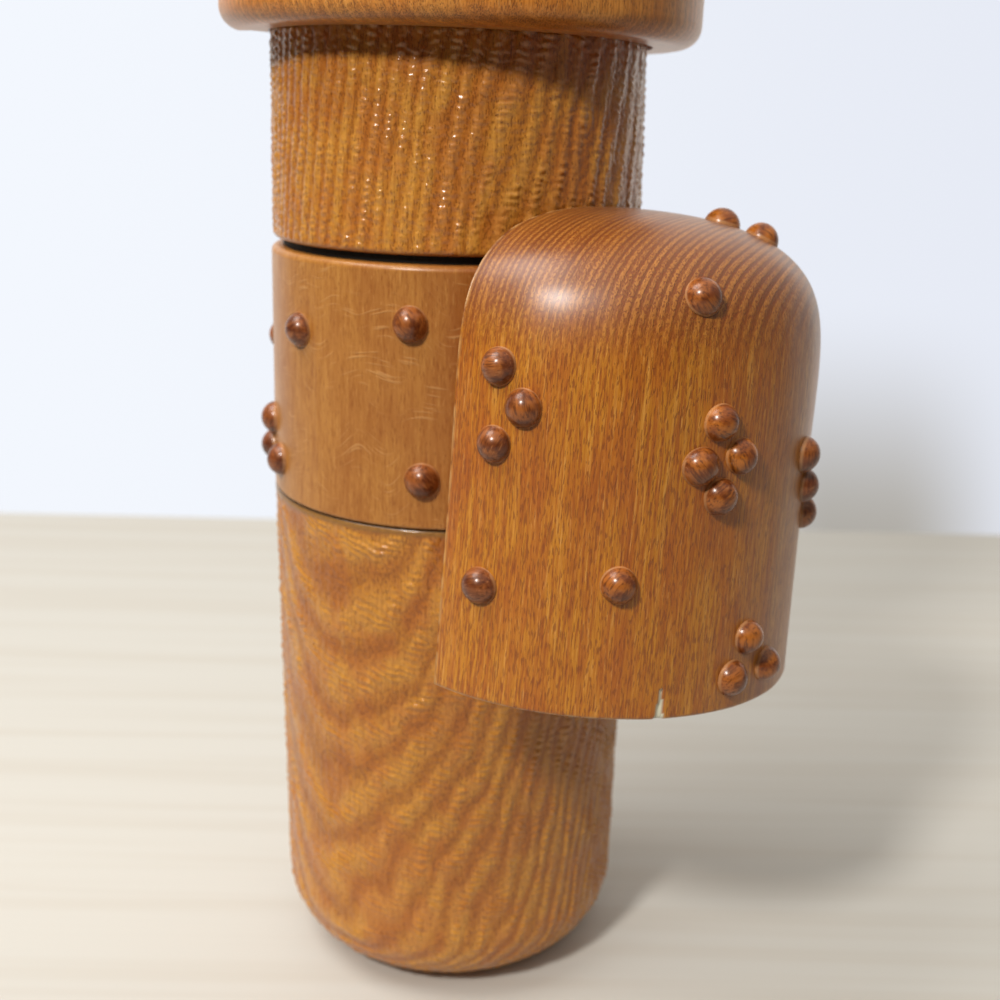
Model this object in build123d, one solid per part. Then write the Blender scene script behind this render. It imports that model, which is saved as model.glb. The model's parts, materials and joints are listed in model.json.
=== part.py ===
from build123d import *

import os
from math import atan2, cos, degrees, pi, radians, sin, sqrt

# A turned wooden kokeshi doll: a round column of three turned blocks on a hidden dowel, a domed
# head that turns on its neck, and an obi knot that hangs on a peg at the back. Round-headed wooden
# beads are pegged into the obi band and the knot.
# Millimetres and degrees. The origin is the centre of the base, +Z is up, the face looks along -Y
# and the obi knot hangs on the +Y side. A bearing is measured from +X towards +Y, and "right" in a
# name is the +X side, which is on the right of someone who looks the doll in the face.

# ---- Driving dimensions: the column ----
lower_height = 85.0  # base to the seam under the obi band
band_height = 39.6
spacer_height = 1.2  # the black ring that shows as a groove
upper_height = 31.0  # on the axis: the top face is not quite square
foot_radius = 29.8
lower_top_radius = 30.5
band_bottom_radius = 30.45
band_top_radius = 30.0
spacer_radius = 28.1
upper_bottom_radius = 29.8
upper_top_radius = 29.3
foot_rounding = 12.8
edge_rounding = 1.0
glue_line = 0.05  # left between two blocks that are glued face to face

# ---- Driving dimensions: the dowels and their holes ----
body_dowel_radius = 6.0
body_dowel_in_lower = 25.0
body_dowel_in_upper = 12.0
neck_dowel_radius = 7.0
neck_dowel_in_body = 15.0
neck_dowel_in_head = 22.0
knot_peg_radius = 4.0
knot_peg_in_band = 18.0
knot_peg_in_knot = 14.0
glued_clearance = 0.02  # radial, for a dowel that is glued in
running_clearance = 0.05  # radial, for a dowel that turns
hole_end_gap = 0.5  # left beyond the end of a dowel, and a cutter's length outside the wood
dowel_chamfer = 0.8

# ---- Driving dimensions: the head ----
head_radius = 37.3
head_height = 62.0
head_lip = 3.2  # rounding of the lower rim
head_recess = 0.8  # the rim hangs this far below the top of the column,
head_recess_radius = 30.0  # which stands in a shallow round recess
head_straight = 12.0  # height of the upright side, above the rim, where the dome starts
head_lean = 1.65  # the neck is bored this far off upright,
head_lean_bearing = 180.0  # and leans this way,
neck_offset = 0.4  # starting this far off the column's axis
head_gap = 0.05  # running gap between the head and the column
face_width = 50.0
face_side_height = 20.0
face_height = 39.0
face_back = 21.0  # from the neck's axis to the back of the face block
face_inset = 1.4  # how far the face lies inside the hair
face_raise = 2.0  # the chin stays this far above the hair's rim
chin_rounding = 8.0

# ---- Driving dimensions: the obi knot, half of a domed cylinder ----
knot_back = 31.0  # from the column's axis to the knot's flat back
knot_peg_z = 105.0
knot_cant = 4.2  # the knot hangs this far off upright, its top towards -X
knot_radius = 32.1  # where the dome starts
knot_foot_radius = 32.6
knot_below_peg = 40.0
knot_dome_start = -15.3  # height above the peg
knot_dome_rise = 42.9
dome_rise_power = 6.84  # the two powers of the dome's outline
dome_side_power = 2.43
dome_points = 10

# ---- Driving dimensions: the beads ----
bead_radius = 2.75  # the head is part of a ball,
bead_sunk = 0.5  # whose centre is this far inside the wood
bead_shank_radius = 1.5
bead_shank = 5.0

# Where the beads sit on the knot: (turn from straight back, + towards -X; height above the peg).
knot_beads = {
    "knot_right_trio_beads": [(-77.5, 6.7), (-70.4, 1.7), (-77.3, -3.7)],
    "knot_right_lower_bead": [(-78.4, -23.6)],
    "knot_centre_lower_bead": [(-44.0, -20.8)],
    "knot_upper_bead": [(-28.5, 17.6)],
    "knot_centre_quad_beads": [(-22.3, 1.5), (-15.3, -3.1), (-26.6, -4.4), (-20.2, -8.6)],
    "knot_crown_pair_beads": [(38.0, 26.4), (34.0, 24.7)],
    "knot_back_trio_beads": [(17.0, -4.9), (21.5, -9.9), (27.5, -14.6)],
    "knot_foot_trio_beads": [(-5.7, -29.6), (4.2, -34.8), (-10.1, -35.2)],
    "knot_left_trio_beads": [(72.0, 3.5), (78.5, -1.6), (71.5, -6.6)],
    "knot_left_lower_bead": [(60.0, -26.0)],
}

# Where the beads sit on the band's +X side: (bearing; height above the base). The -X side mirrors it.
band_side_beads = {
    "band_upper_back_bead": [(31.6, 116.1)],
    "band_lower_back_bead": [(35.1, 92.8)],
    "band_side_bead": [(-7.8, 113.2)],
    "band_upper_front_bead": [(-56.6, 108.2)],
    "band_trio_beads": [(-33.5, 96.5), (-38.0, 91.4), (-23.8, 90.8)],
}
band_front_beads = [(-90.0, 111.5), (-96.5, 107.0), (-84.5, 106.2), (-90.5, 101.8)]

# ---- Heights and planes worked out from them ----
band_z = lower_height
spacer_z = band_z + band_height
upper_z = spacer_z + spacer_height
rim_z = upper_z + upper_height - head_recess
lean_side = sin(radians(head_lean))
neck_axis = Vector(
    lean_side * cos(radians(head_lean_bearing)),
    lean_side * sin(radians(head_lean_bearing)),
    cos(radians(head_lean)),
)
neck_x = neck_offset * cos(radians(head_lean_bearing))
neck_y = neck_offset * sin(radians(head_lean_bearing))
# The head's own frame, in the middle of its rim: z along the neck, x square to the doll's front.
head_place = Plane(
    origin=(neck_x, neck_y, rim_z), x_dir=Vector(0, 1, 0).cross(neck_axis), z_dir=neck_axis
)
knot_place = Pos(0, knot_back, knot_peg_z) * Rot(0, -knot_cant, 0)


def turned_block(bottom_z, height, bottom_radius, top_radius):
    """A block turned to a slight taper, standing on bottom_z."""
    return Pos(0, 0, bottom_z + height / 2) * Cone(bottom_radius, top_radius, height)


def rim(block, at_top):
    """The circle at a block's top or bottom end."""
    circles = block.edges().filter_by(GeomType.CIRCLE).sort_by(Axis.Z)
    return circles[-1] if at_top else circles[0]


def dowel(radius, length):
    """A chamfered dowel standing on the origin."""
    rod = Pos(0, 0, length / 2) * Cylinder(radius, length)
    return chamfer(rod.edges().filter_by(GeomType.CIRCLE), dowel_chamfer)


def bar(radius, bottom, top):
    """A plain round bar about the z axis, which is also the cutter for a hole."""
    return Pos(0, 0, (bottom + top) / 2) * Cylinder(radius, top - bottom)


def dome_radius(height, start, rise, radius):
    """How wide a dome is at a height, when it starts with this radius."""
    part = min(1.0, max(0.0, (height - start) / rise))
    return radius * (1 - part**dome_rise_power) ** (1 / dome_side_power)


def dome_lean(height, start, rise, radius):
    """How far above level the dome's outward normal points, in degrees."""
    part = max(0.0, (height - start) / rise)
    full = 1 - part**dome_rise_power
    slope = (radius / rise) * (dome_rise_power / dome_side_power)
    slope *= part ** (dome_rise_power - 1) * full ** (1 / dome_side_power - 1)
    return degrees(atan2(slope, 1))


def domed_solid(base_z, base_radius, start, rise, radius, turn):
    """A cylinder with a domed top, revolved through turn degrees from +X towards +Y."""
    steps = [pi / 2 * i / dome_points for i in range(dome_points + 1)]
    heights = [start + rise * sin(step) for step in steps]
    points = [(dome_radius(h, start, rise, radius), 0, h) for h in heights]
    base = Line((0, 0, base_z), (base_radius, 0, base_z))
    side = Line((base_radius, 0, base_z), points[0])
    crown = Spline(*points, tangents=[(0, 0, 1), (-1, 0, 0)])
    middle = Line(points[-1], (0, 0, base_z))
    return revolve(make_face(base + side + crown + middle), Axis.Z, turn)


def bead():
    """A round-headed wooden peg about z: the head rests a glue line above z = 0, where wood starts."""
    centre = glue_line - bead_sunk
    head_foot = sqrt(bead_radius**2 - bead_sunk**2)
    half_way = bead_radius * sin(pi / 4)
    foot = (head_foot, 0, glue_line)
    top = (0, 0, centre + bead_radius)
    outline = (
        Line((0, 0, -bead_shank), (bead_shank_radius, 0, -bead_shank))
        + Line((bead_shank_radius, 0, -bead_shank), (bead_shank_radius, 0, glue_line))
        + Line((bead_shank_radius, 0, glue_line), foot)
        + ThreePointArc(foot, (half_way, 0, centre + half_way), top)
        + Line(top, (0, 0, -bead_shank))
    )
    return revolve(make_face(outline), Axis.Z)


def bead_hole():
    """The cutter for a bead's shank, from just outside the surface to past the shank's end."""
    return bar(bead_shank_radius + glued_clearance, -bead_shank - hole_end_gap, hole_end_gap)


def knot_seat(turn, height):
    """The place on the knot where a bead rests, with z pointing out of the wood."""
    if height < knot_dome_start:
        share = (knot_dome_start - height) / (knot_dome_start + knot_below_peg)
        flare = knot_foot_radius - knot_radius
        radius = knot_radius + flare * share
        lean = degrees(atan2(flare, knot_dome_start + knot_below_peg))
    else:
        radius = dome_radius(height, knot_dome_start, knot_dome_rise, knot_radius)
        lean = dome_lean(height, knot_dome_start, knot_dome_rise, knot_radius)
    out = Vector(-sin(radians(turn)), cos(radians(turn)), 0)
    normal = out * cos(radians(lean)) + Vector(0, 0, sin(radians(lean)))
    return knot_place * Plane(origin=out * radius + Vector(0, 0, height), z_dir=normal).location


def band_seat(bearing, height):
    """The place on the band where a bead rests, with z pointing out of the wood."""
    share = (height - band_z) / band_height
    radius = band_bottom_radius + (band_top_radius - band_bottom_radius) * share
    taper = atan2(band_bottom_radius - band_top_radius, band_height)
    out = Vector(cos(radians(bearing)), sin(radians(bearing)), 0)
    normal = out * cos(taper) + Vector(0, 0, sin(taper))
    return Plane(origin=out * radius + Vector(0, 0, height), z_dir=normal).location


def make_lower_body():
    block = turned_block(0, lower_height - glue_line, foot_radius, lower_top_radius)
    block = fillet(rim(block, False), foot_rounding)
    block = fillet(rim(block, True), edge_rounding / 2)
    bottom = lower_height - body_dowel_in_lower - hole_end_gap
    return block - bar(body_dowel_radius + glued_clearance, bottom, lower_height)


def make_obi_band(seats):
    block = turned_block(band_z, band_height - glue_line, band_bottom_radius, band_top_radius)
    block = fillet(rim(block, True), edge_rounding)
    block = fillet(rim(block, False), edge_rounding / 2)
    block -= bar(body_dowel_radius + glued_clearance, band_z, spacer_z)
    hole_bottom = band_top_radius - knot_peg_in_band
    peg_hole = bar(knot_peg_radius + running_clearance, hole_bottom, knot_back)
    block -= Pos(0, 0, knot_peg_z) * Rot(-90, 0, 0) * peg_hole
    for seat in seats:
        block -= seat * bead_hole()
    return block


def make_waist_spacer():
    ring = bar(spacer_radius, spacer_z, upper_z - glue_line)
    return ring - bar(body_dowel_radius + glued_clearance, spacer_z, upper_z)


def make_upper_body():
    tall = turned_block(
        upper_z, 2 * upper_height, upper_bottom_radius, 2 * upper_top_radius - upper_bottom_radius
    )
    block = split(tall, bisect_by=head_place.offset(head_recess - head_gap), keep=Keep.BOTTOM)
    block = fillet(rim(block, False), edge_rounding)
    dowel_top = upper_z + body_dowel_in_upper + hole_end_gap
    block -= bar(body_dowel_radius + glued_clearance, upper_z, dowel_top)
    hole_bottom = head_recess - neck_dowel_in_body - hole_end_gap
    hole_top = head_recess + hole_end_gap
    neck_hole = bar(neck_dowel_radius + running_clearance, hole_bottom, hole_top)
    return block - head_place.location * neck_hole


def make_body_dowel():
    length = body_dowel_in_lower + band_height + spacer_height + body_dowel_in_upper
    return Pos(0, 0, lower_height - body_dowel_in_lower) * dowel(body_dowel_radius, length)


def make_neck_dowel():
    rod = dowel(neck_dowel_radius, neck_dowel_in_body + neck_dowel_in_head)
    return head_place.location * Pos(0, 0, head_recess - neck_dowel_in_body) * rod


def make_head_dome(bottom, radius, rounding):
    """The head's domed cylinder about its own z axis, standing on z = bottom."""
    dome = domed_solid(bottom, radius, head_straight, head_height - head_straight, radius, 360)
    return fillet(rim(dome, False), rounding)


def face_opening(bottom, grow):
    """The arched prism that the face block fills, from bottom up, grown on its sides by grow."""
    half = face_width / 2 + grow
    arch_top = face_height + grow
    side = face_side_height
    outline = (
        Line((-half, 0, bottom), (half, 0, bottom))
        + Line((half, 0, bottom), (half, 0, side))
        + ThreePointArc((half, 0, side), (0, 0, arch_top), (-half, 0, side))
        + Line((-half, 0, side), (-half, 0, bottom))
    )
    deep = extrude(make_face(outline), amount=head_radius - face_back + grow, dir=(0, -1, 0))
    return Pos(0, -face_back + grow, 0) * deep


def make_hair():
    hair = make_head_dome(0, head_radius, head_lip) - face_opening(-hole_end_gap, glue_line)
    hair -= bar(head_recess_radius, -hole_end_gap, head_recess)
    top = head_recess + neck_dowel_in_head + hole_end_gap
    hair -= bar(neck_dowel_radius + glued_clearance, 0, top)
    return head_place.location * hair


def make_face_block():
    dome = make_head_dome(face_raise, head_radius - face_inset, chin_rounding)
    return head_place.location * (dome & face_opening(face_raise, 0))


def make_obi_knot(seats):
    half = domed_solid(
        -knot_below_peg, knot_foot_radius, knot_dome_start, knot_dome_rise, knot_radius, 180
    )
    hole_bottom = knot_peg_in_knot + hole_end_gap
    peg_hole = bar(knot_peg_radius + glued_clearance, -hole_end_gap, hole_bottom)
    knot = knot_place * (half - Rot(-90, 0, 0) * peg_hole)
    for seat in seats:
        knot -= seat * bead_hole()
    return knot


def make_knot_peg():
    inner_end = band_top_radius - knot_peg_in_band + hole_end_gap
    length = knot_back + knot_peg_in_knot - inner_end
    return Pos(0, inner_end, knot_peg_z) * Rot(-90, 0, 0) * dowel(knot_peg_radius, length)


def main():
    knot_seats = {name: [knot_seat(*spot) for spot in spots] for name, spots in knot_beads.items()}
    band_seats = {"band_front_quad_beads": [band_seat(*spot) for spot in band_front_beads]}
    for name, spots in band_side_beads.items():
        plain = name.removeprefix("band_")
        band_seats["band_right_" + plain] = [band_seat(turn, z) for turn, z in spots]
        band_seats["band_left_" + plain] = [band_seat(180 - turn, z) for turn, z in spots]

    nodes = {
        "lower_body": make_lower_body(),
        "obi_band": make_obi_band(sum(band_seats.values(), [])),
        "waist_spacer": make_waist_spacer(),
        "upper_body": make_upper_body(),
        "body_dowel": make_body_dowel(),
        "neck_dowel": make_neck_dowel(),
        "hair_cap": make_hair(),
        "face_block": make_face_block(),
        "obi_knot": make_obi_knot(sum(knot_seats.values(), [])),
        "knot_peg": make_knot_peg(),
    }
    for name, seats in {**knot_seats, **band_seats}.items():
        solids = [seat * bead() for seat in seats]
        nodes[name] = solids[0] if len(solids) == 1 else Compound(children=solids)

    os.makedirs("parts", exist_ok=True)
    for name, node in nodes.items():
        export_step(node, f"parts/{name}.step")


main()
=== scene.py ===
import json
import math

import bpy
import numpy as np
from mathutils import Matrix, Vector


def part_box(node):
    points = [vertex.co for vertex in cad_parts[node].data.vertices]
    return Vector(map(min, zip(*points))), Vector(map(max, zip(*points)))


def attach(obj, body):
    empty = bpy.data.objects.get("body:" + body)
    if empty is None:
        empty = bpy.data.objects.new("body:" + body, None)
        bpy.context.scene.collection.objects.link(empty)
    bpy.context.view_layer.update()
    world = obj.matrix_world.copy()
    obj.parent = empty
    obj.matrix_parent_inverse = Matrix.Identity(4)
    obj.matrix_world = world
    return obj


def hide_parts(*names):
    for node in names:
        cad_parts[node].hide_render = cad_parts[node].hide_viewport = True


# A turned wooden kokeshi doll, dressed for a studio picture taken from behind it and to its right.
# Metres, in the doll's own frame: the origin is the centre of the base, +Z is up, the face looks
# along -Y and the sash knot hangs on the +Y side. A bearing runs from +X towards +Y, in degrees.

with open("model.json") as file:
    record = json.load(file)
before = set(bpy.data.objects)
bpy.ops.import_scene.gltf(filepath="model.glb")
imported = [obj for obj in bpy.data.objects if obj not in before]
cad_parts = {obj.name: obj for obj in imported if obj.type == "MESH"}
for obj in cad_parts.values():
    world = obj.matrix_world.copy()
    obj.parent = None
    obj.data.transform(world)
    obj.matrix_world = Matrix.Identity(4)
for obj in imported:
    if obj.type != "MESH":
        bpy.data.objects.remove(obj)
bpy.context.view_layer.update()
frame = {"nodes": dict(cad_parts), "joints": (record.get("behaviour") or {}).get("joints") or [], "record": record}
MM = 0.001

# ---- What the frame gives ----
column_low, column_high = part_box("lower_body")
band_low, band_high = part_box("obi_band")
upper_low, upper_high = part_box("upper_body")
node_slot = {part["node"]: part["material_slot"] for part in frame["record"]["subparts"]}
joints = {joint["name"]: joint for joint in frame["joints"]}
neck_point = Vector(joints["head_turn"]["pos_m"])
neck_axis = Vector(joints["head_turn"]["axis"]).normalized()
knot_point = Vector(joints["knot_turn"]["pos_m"])

lower_top_radius = column_high.x
upper_bottom_radius = upper_high.x
band_radius = band_high.x

# ---- Sizes of the turned work ----
band_top_radius = 30.0 * MM
foot_radius = 29.8 * MM
foot_rounding = 12.8 * MM
upper_top_radius = 29.3 * MM
edge_rounding = 1.0 * MM
neck_gap = 0.05 * MM
knot_cant = 4.2  # degrees off upright, in the plane of its flat back
knot_radius = 32.1 * MM
knot_foot_radius = 32.6 * MM
knot_below_peg = 40.0 * MM
knot_dome_start = -15.3 * MM
knot_dome_rise = 42.9 * MM
head_radius = 37.3 * MM
head_recess = 0.8 * MM
head_straight = 12.0 * MM
head_dome_rise = 50.0 * MM
face_inset = 1.4 * MM
dome_rise_power = 6.84
dome_side_power = 2.43
bead_radius = 2.75 * MM
bead_sunk = 0.5 * MM
knot_pith = (32 * MM, -71 * MM)  # the centre of its growth rings, as (x, y) from the peg
knot_ring_pitch = 0.9 * MM
# A chip is out of the knot's lower edge.
chip_turn = 59.0  # degrees round from the knot's +X edge
chip_height = 4.4 * MM
chip_half_width = 0.75 * MM  # at the edge; it narrows to nothing at its top
chip_depth = 0.35 * MM

# Where the beads sit on the knot: (turn from straight back, + towards -X; height above the peg, mm).
knot_beads = {
    "knot_right_trio_beads": [(-77.5, 6.7), (-70.4, 1.7), (-77.3, -3.7)],
    "knot_right_lower_bead": [(-78.4, -23.6)],
    "knot_centre_lower_bead": [(-44.0, -20.8)],
    "knot_upper_bead": [(-28.5, 17.6)],
    "knot_centre_quad_beads": [(-22.3, 1.5), (-15.3, -3.1), (-26.6, -4.4), (-20.2, -8.6)],
    "knot_crown_pair_beads": [(38.0, 26.4), (34.0, 24.7)],
    "knot_back_trio_beads": [(17.0, -4.9), (21.5, -9.9), (27.5, -14.6)],
    "knot_foot_trio_beads": [(-5.7, -29.6), (4.2, -34.8), (-10.1, -35.2)],
    "knot_left_trio_beads": [(72.0, 3.5), (78.5, -1.6), (71.5, -6.6)],
    "knot_left_lower_bead": [(60.0, -26.0)],
}

# Where the beads sit on the band's +X side: (bearing; height above the base, mm). The -X side mirrors it.
band_side_beads = {
    "upper_back_bead": [(31.6, 116.1)],
    "lower_back_bead": [(35.1, 92.8)],
    "side_bead": [(-7.8, 113.2)],
    "upper_front_bead": [(-56.6, 108.2)],
    "trio_beads": [(-33.5, 96.5), (-38.0, 91.4), (-23.8, 90.8)],
}
band_front_beads = [(-90.0, 111.5), (-96.5, 107.0), (-84.5, 106.2), (-90.5, 101.8)]


# ---- Small helpers ----
def bearing_vector(degrees):
    """The level unit vector at a bearing."""
    return Vector((math.cos(math.radians(degrees)), math.sin(math.radians(degrees)), 0))


def frame_matrix(origin, x_axis, z_axis):
    """A place with its own z axis, its x axis as near as can be to x_axis."""
    z = z_axis.normalized()
    y = z.cross(x_axis).normalized()
    x = y.cross(z)
    return Matrix.Translation(origin) @ Matrix((x, y, z)).transposed().to_4x4()


def cloud(points, size, seed, waves=14):
    """Smooth noise of about -1 to 1: waves in random directions, their length near size."""
    rng = np.random.default_rng(seed)
    total = np.zeros(points.shape[:-1])
    for _ in range(waves):
        direction = rng.normal(size=3)
        direction /= np.linalg.norm(direction)
        turns = rng.uniform(0.6, 1.5) * math.tau / size
        total += np.sin(points @ (direction * turns) + rng.uniform(0, math.tau))
    return total / math.sqrt(waves)


def smooth_step(low, high, value):
    """0 below low, 1 above high, with a soft change between."""
    share = np.clip((value - low) / (high - low), 0, 1)
    return share * share * (3 - 2 * share)


def add_mesh(name, points, faces, material, body, stands_for, flat_from=None):
    """A new piece in the doll's frame, riding on a body and standing for CAD nodes."""
    mesh = bpy.data.meshes.new(name)
    mesh.from_pydata([tuple(p) for p in points], [], [tuple(f) for f in faces])
    mesh.materials.append(material)
    mesh.validate()
    smooth = np.ones(len(mesh.polygons), dtype=bool)
    if flat_from is not None:
        smooth[flat_from:] = False
    mesh.polygons.foreach_set("use_smooth", smooth)
    piece = bpy.data.objects.new(name, mesh)
    bpy.context.scene.collection.objects.link(piece)
    if body:
        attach(piece, body)
    if stands_for:
        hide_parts(*stands_for)
    return piece


def add_numbers(piece, name, values):
    """A number for each vertex, which a material can read."""
    layer = piece.data.attributes.new(name, "FLOAT", "POINT")
    layer.data.foreach_set("value", np.asarray(values, dtype=np.float32).ravel())


def add_vectors(piece, name, values):
    """A vector for each vertex, which a material can read."""
    layer = piece.data.attributes.new(name, "FLOAT_VECTOR", "POINT")
    layer.data.foreach_set("vector", np.asarray(values, dtype=np.float32).ravel())


def grid_faces(rows, columns, closed):
    """Quads between rows of points; a closed grid joins its last column to its first."""
    last = columns if closed else columns - 1
    row = np.arange(rows - 1)[:, None] * columns
    here = np.arange(last)[None, :]
    after = (here + 1) % columns
    quads = np.stack([row + here, row + after, row + columns + after, row + columns + here], -1)
    return quads.reshape(-1, 4).tolist()


# ---- Material nodes ----
class Nodes:
    """Writes one material, or the world, as a chain of nodes."""

    def __init__(self, name, world=None):
        self.owner = world or bpy.data.materials.new(name)
        self.owner.use_nodes = True
        self.tree = self.owner.node_tree
        self.tree.nodes.clear()

    def node(self, kind, inputs=(), **settings):
        """A new node with its settings, and a value or another node's output for each input."""
        made = self.tree.nodes.new(kind)
        for key, value in settings.items():
            setattr(made, key, value)
        for socket, value in dict(inputs).items():
            self.feed(made.inputs[socket], value)
        return made

    def feed(self, socket, value):
        if isinstance(value, bpy.types.NodeSocket):
            self.tree.links.new(value, socket)
        else:
            socket.default_value = value

    def math(self, operation, first, second=0.0, clamp=False):
        inputs = {0: first, 1: second}
        return self.node("ShaderNodeMath", inputs, operation=operation, use_clamp=clamp).outputs[0]

    def vector(self, operation, first, second=(0, 0, 0)):
        made = self.node("ShaderNodeVectorMath", {0: first, 1: second}, operation=operation)
        return made.outputs["Value" if operation in ("LENGTH", "DOT_PRODUCT") else "Vector"]

    def place(self):
        """The place on the piece, in metres."""
        return self.node("ShaderNodeTexCoord").outputs["Object"]

    def number(self, name):
        """A number that add_numbers has put on the mesh."""
        return self.node("ShaderNodeAttribute", attribute_name=name).outputs["Fac"]

    def vector_field(self, name):
        """A vector that add_vectors has put on the mesh."""
        return self.node("ShaderNodeAttribute", attribute_name=name).outputs["Vector"]

    def split(self, vector):
        return self.node("ShaderNodeSeparateXYZ", {0: vector}).outputs

    def join(self, x, y, z):
        return self.node("ShaderNodeCombineXYZ", {0: x, 1: y, 2: z}).outputs[0]

    def noise(self, place, size, detail=2.0, roughness=0.5):
        """Noise of 0 to 1 whose features are about size across; size may differ along x, y and z."""
        if isinstance(size, tuple):
            place = self.vector("MULTIPLY", place, tuple(1 / s for s in size))
            size = 1.0
        inputs = {"Vector": place, "Scale": 1 / size, "Detail": detail, "Roughness": roughness}
        return self.node("ShaderNodeTexNoise", inputs).outputs["Fac"]

    def grain(self, place, width, length, detail=2.0, roughness=0.5):
        """Noise drawn out along z, as wood is, with features of this width and length in mm."""
        return self.noise(place, (width * MM, width * MM, length * MM), detail, roughness)

    def ease(self, value, low, high, to_low=0.0, to_high=1.0):
        """Goes smoothly from to_low to to_high as value goes from low to high."""
        inputs = {"Value": value, "From Min": low, "From Max": high, "To Min": to_low, "To Max": to_high}
        return self.node("ShaderNodeMapRange", inputs, interpolation_type="SMOOTHSTEP").outputs[0]

    def mix(self, share, first, second, blend="MIX"):
        """The first colour at share 0, the second at share 1."""
        made = self.node("ShaderNodeMix", data_type="RGBA", blend_type=blend, clamp_factor=True)
        self.feed(made.inputs[0], share)
        self.feed(made.inputs[6], first)
        self.feed(made.inputs[7], second)
        return made.outputs[2]

    def where_high(self, colour, value, low, high, share, tone):
        """The colour, with up to a share of the tone mixed in as value rises from low to high."""
        return self.mix(self.ease(value, low, high, 0.0, share), colour, tone)

    def where_low(self, colour, value, low, high, share, tone):
        """The colour, with up to a share of the tone mixed in as value falls from high to low."""
        return self.mix(self.ease(value, low, high, share, 0.0), colour, tone)

    def bump(self, height, depth, under=None):
        """Tilts the surface as if it stood depth higher where height is 1."""
        inputs = {"Height": height, "Distance": depth, "Strength": 1.0}
        if under is not None:
            inputs["Normal"] = under
        return self.node("ShaderNodeBump", inputs).outputs["Normal"]

    def surface(self, **inputs):
        """Ends the material with one shader and gives the material back."""
        shader = self.node("ShaderNodeBsdfPrincipled")
        for key, value in inputs.items():
            self.feed(shader.inputs[key.replace("_", " ")], value)
        out = self.node("ShaderNodeOutputMaterial")
        self.tree.links.new(shader.outputs[0], out.inputs["Surface"])
        return self.owner


def rgb(red, green, blue):
    """A screen colour of 0 to 255 as the linear colour that shows it."""
    parts = [value / 255 for value in (red, green, blue)]
    linear = [p / 12.92 if p <= 0.04045 else ((p + 0.055) / 1.055) ** 2.4 for p in parts]
    return (*linear, 1.0)


def fibres(b, place, width, length):
    """Long fine streaks along z."""
    return b.grain(place, width, length, detail=3, roughness=0.6)


def pores(b, place, width, length):
    """Plain separate spots, drawn out along z."""
    return b.grain(place, width, length, detail=1, roughness=0.4)


def lacquered(b, colour, roughness, normal, **coat):
    """Wood that glints in its own colour, under a lacquer that glints white."""
    return b.surface(
        Base_Color=colour,
        Roughness=roughness,
        Specular_IOR_Level=0.25,
        Specular_Tint=rgb(255, 214, 160),
        Normal=normal,
        **coat,
    )


# ---- Materials ----
def carved_wood():
    """Zelkova with its growth rings raised by the turner's brush and gouge, under a thin lacquer."""
    b = Nodes("carved_wood")
    place = b.place()
    crest = b.number("crest")
    ring = b.number("ring")
    bevel = b.number("bevel")
    joint_shade = b.number("joint_shade")
    fine = b.grain(place, 0.4, 4, detail=3, roughness=0.65)
    band = b.noise(b.join(ring, 0.0, 0.0), 1.4, detail=1)
    patch = b.grain(place, 6, 8, detail=4, roughness=0.6)
    golden = b.math("ADD", b.math("MULTIPLY", band, 0.2), b.math("MULTIPLY", patch, 0.8))
    golden = b.ease(golden, 0.42, 0.58)
    low = b.mix(golden, rgb(187, 112, 40), rgb(197, 128, 45))
    high = b.mix(golden, rgb(198, 128, 55), rgb(210, 146, 60))
    colour = b.mix(b.ease(crest, 0.0, 0.7), low, high)
    colour = b.where_low(colour, crest, 0.0, 0.10, 0.22, rgb(138, 72, 24))
    colour = b.where_high(colour, fine, 0.35, 0.7, 0.45, rgb(150, 80, 26))
    hole_field = pores(b, place, 0.2, 0.8)
    hole = b.ease(b.math("SUBTRACT", hole_field, b.math("MULTIPLY", crest, 0.08)), 0.56, 0.64)
    colour = b.mix(b.math("MULTIPLY", hole, 0.55), colour, rgb(128, 66, 20))
    colour = b.mix(bevel, colour, rgb(150, 104, 46))
    # Painted shade: the last 0.3 mm under the block's top edge goes near black, as the crevice of the joint there.
    colour = b.mix(joint_shade, colour, rgb(36, 22, 10))
    speck = b.grain(place, 0.45, 0.6, detail=3, roughness=0.7)
    normal = b.bump(b.math("SUBTRACT", b.math("MULTIPLY", fine, 0.7), hole), 0.08 * MM)
    normal = b.bump(speck, 0.12 * MM, under=normal)
    roughness = b.ease(speck, 0.3, 0.7, 0.42, 0.55)
    return lacquered(b, colour, roughness, normal, Coat_Weight=0.75, Coat_Roughness=0.18)


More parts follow.
